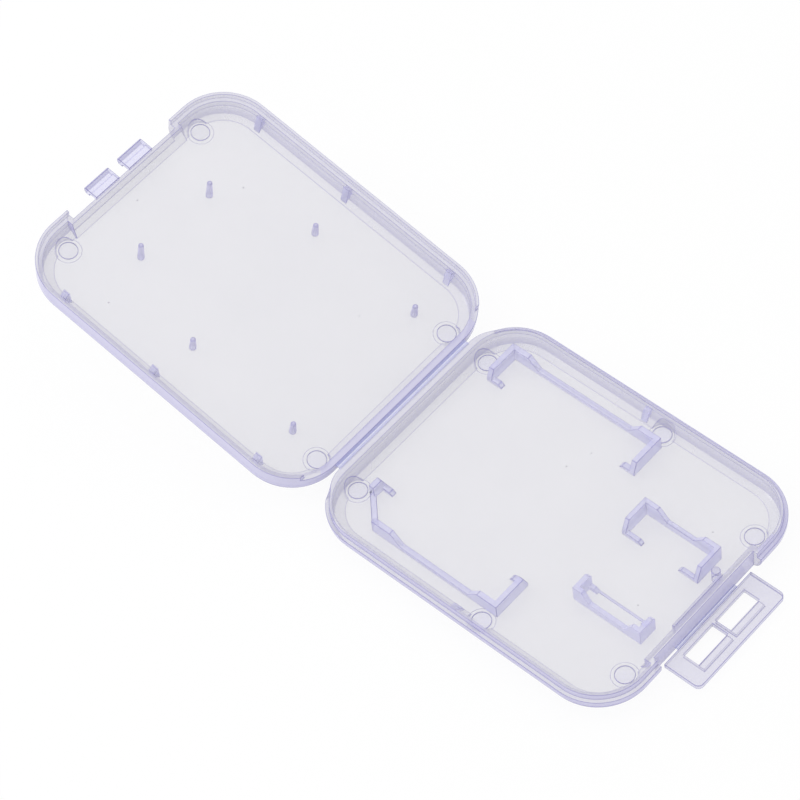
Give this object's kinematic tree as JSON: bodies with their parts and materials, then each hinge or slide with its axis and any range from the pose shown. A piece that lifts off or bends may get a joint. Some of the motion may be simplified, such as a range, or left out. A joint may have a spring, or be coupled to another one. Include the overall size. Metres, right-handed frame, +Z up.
{
  "type": "memory card case",
  "caption": "Open hinged clear plastic case with moulded pockets for a full-size and a small memory card, hold-down pins, and a snap latch flap.",
  "frame": {"origin": "centre of the tray's underside", "axes": "+X along the main hinge line, +Y from the latch flap towards the lid, +Z up, out of the tray"},
  "size_m": [0.0428, 0.1128, 0.0169],
  "materials": {
    "clear_polypropylene": "clear, slightly milky, smooth",
    "hinge_polypropylene": "the same plastic, thinned and drawn to a whiter web"
  },
  "bodies": {
    "tray": {"tray_shell": "clear_polypropylene", "sd_guide_left": "clear_polypropylene", "sd_guide_right": "clear_polypropylene", "micro_guide_left": "clear_polypropylene", "micro_guide_right": "clear_polypropylene", "tray_rib_left": "clear_polypropylene", "tray_rib_right": "clear_polypropylene", "tray_ejector_pads": "clear_polypropylene", "front_tongue": "clear_polypropylene", "ejector_boss": "clear_polypropylene", "lid_hinge_web": "hinge_polypropylene", "latch_hinge_web": "hinge_polypropylene"},
    "lid": {"lid_shell": "clear_polypropylene", "sd_pins": "clear_polypropylene", "micro_pins": "clear_polypropylene", "lid_ribs_left": "clear_polypropylene", "lid_ribs_right": "clear_polypropylene", "lid_ejector_pads": "clear_polypropylene", "latch_hook_left": "clear_polypropylene", "latch_hook_right": "clear_polypropylene"},
    "flap": {"latch_flap": "clear_polypropylene"}
  },
  "joints": [
    {"name": "lid_hinge", "type": "hinge", "parent": "tray", "child": "lid", "pos_m": [0, 0.02715, 0.0036], "axis": [1, 0, 0], "range_deg": [-13.4, 166.6], "deforming": ["lid_hinge_web"]},
    {"name": "latch_hinge", "type": "hinge", "parent": "tray", "child": "flap", "pos_m": [0, -0.02575, 0.00065], "axis": [-1, 0, 0], "range_deg": [0, 90], "deforming": ["latch_hinge_web"]}
  ]
}
